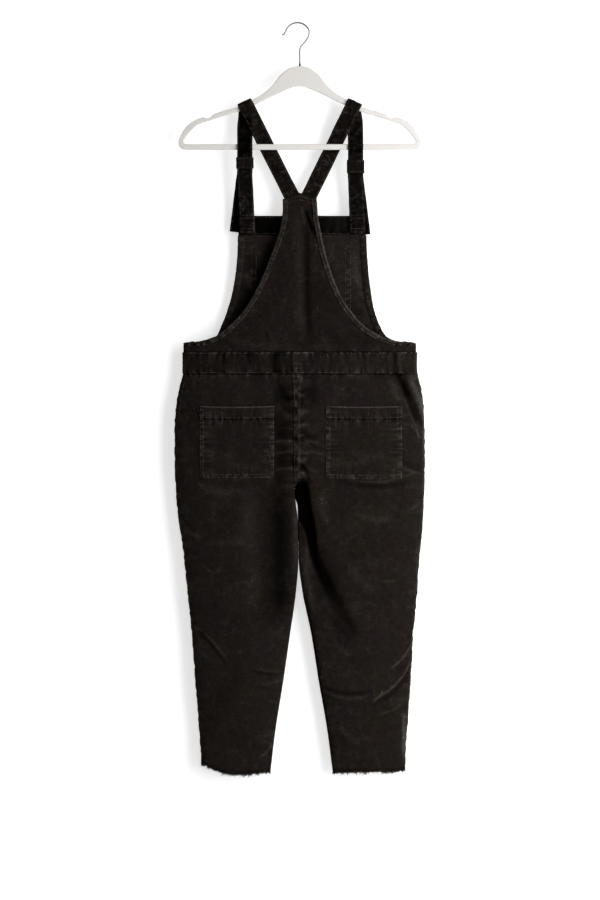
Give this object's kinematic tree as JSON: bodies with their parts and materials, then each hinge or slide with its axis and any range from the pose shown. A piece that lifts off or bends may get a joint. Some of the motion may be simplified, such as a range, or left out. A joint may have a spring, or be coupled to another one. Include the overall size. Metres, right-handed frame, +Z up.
{
  "type": "bib overalls on a coat hanger",
  "caption": "Washed black denim bib overalls with crossed back straps, patch pockets and raw cropped hems, hung on a slim coat hanger.",
  "frame": {"origin": "inside top of the hanger's hook, where a rail sits", "axes": "+Z up; +Y towards the front of the garment, which the bib faces; -Y towards its back; +X towards the wearer's right"},
  "size_m": [0.4628, 0.0413, 1.3918],
  "materials": {
    "washed_denim": "matte washed black cotton denim, puckered and paler along its seams",
    "flocked_plastic": "pale warm grey, fine flocked nap",
    "hook_steel": "polished wire"
  },
  "bodies": {
    "root": {"back_binding_left": "washed_denim", "back_binding_right": "washed_denim", "back_leg_left": "washed_denim", "back_leg_right": "washed_denim", "back_panel": "washed_denim", "bib_facing_left": "washed_denim", "bib_facing_right": "washed_denim", "bib_front": "washed_denim", "bib_pocket": "washed_denim", "bib_top_band": "washed_denim", "front_leg_left": "washed_denim", "front_leg_right": "washed_denim", "hanger_body": "flocked_plastic", "hanger_hook": "hook_steel", "hem_fringe_left": "washed_denim", "hem_fringe_right": "washed_denim", "hook_collar": "hook_steel", "pocket_back_left": "washed_denim", "pocket_back_right": "washed_denim", "strap_keeper_left": "washed_denim", "strap_keeper_right": "washed_denim", "strap_left": "washed_denim", "strap_right": "washed_denim", "strap_tail_left": "washed_denim", "strap_tail_right": "washed_denim", "waistband_back": "washed_denim", "waistband_front": "washed_denim"}
  },
  "joints": []
}
